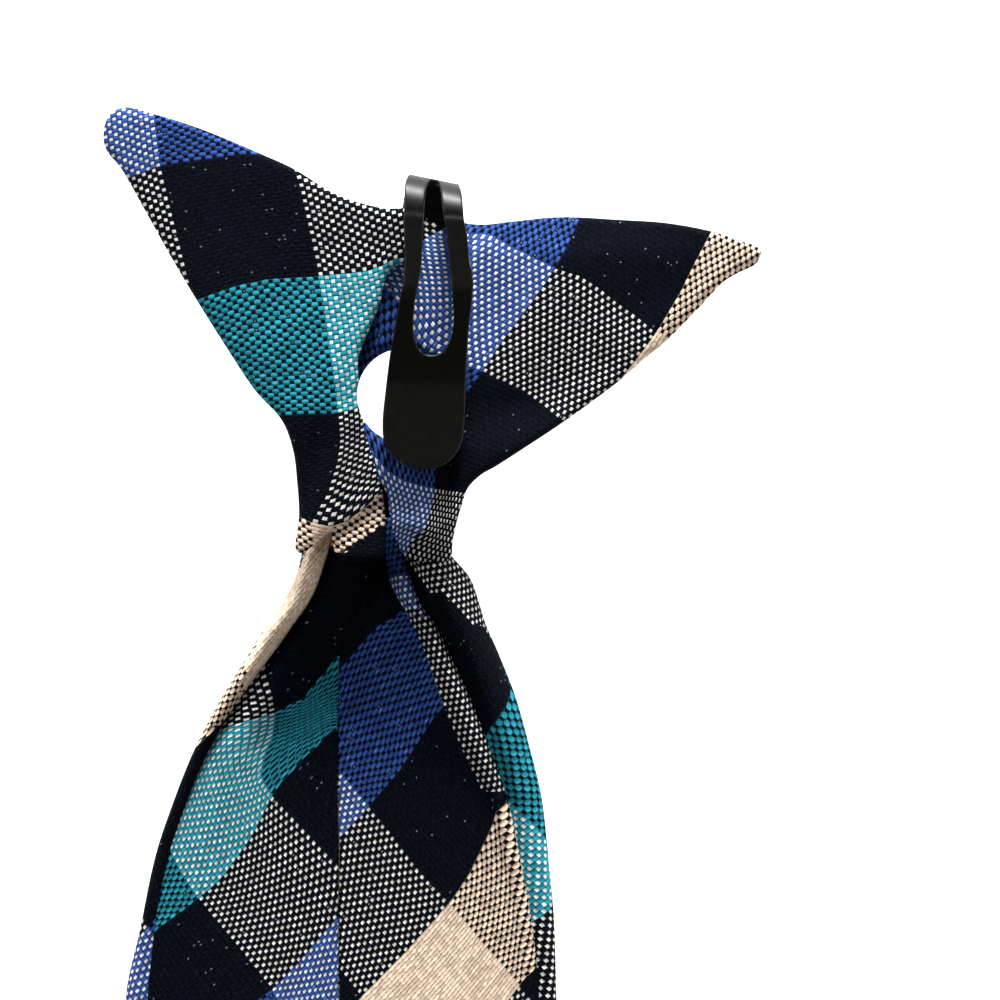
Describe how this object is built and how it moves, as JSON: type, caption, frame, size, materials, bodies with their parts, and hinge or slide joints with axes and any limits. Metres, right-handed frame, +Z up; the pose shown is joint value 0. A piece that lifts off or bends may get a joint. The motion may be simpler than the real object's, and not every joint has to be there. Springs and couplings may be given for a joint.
{
  "type": "clip-on tie",
  "caption": "Plaid clip-on tie lying on its front: pointed wings round a small loop, a short knot, a long folded blade, and a steel spring clip that grips a collar band.",
  "frame": {"origin": "middle of the base, on the surface that the tie lies on", "axes": "+Z up out of the back of the tie, +Y along the blade towards the wings, +X towards the right wing as seen from the back"},
  "size_m": [0.0876, 0.37, 0.0176],
  "materials": {
    "wing_cloth": "coarse plaid weave in navy, blue, teal, cream and white, cut on the bias",
    "knot_cloth": "the same plaid weave, pulled tight round the knot",
    "blade_cloth": "the same plaid weave, pressed into folds, cut on the bias",
    "clip_steel": "black lacquer with a satin gloss, a little bare on the edges"
  },
  "bodies": {
    "root": {"wing_left": "wing_cloth", "wing_right": "wing_cloth", "knot": "knot_cloth", "blade": "blade_cloth", "clip": "clip_steel"}
  },
  "joints": []
}
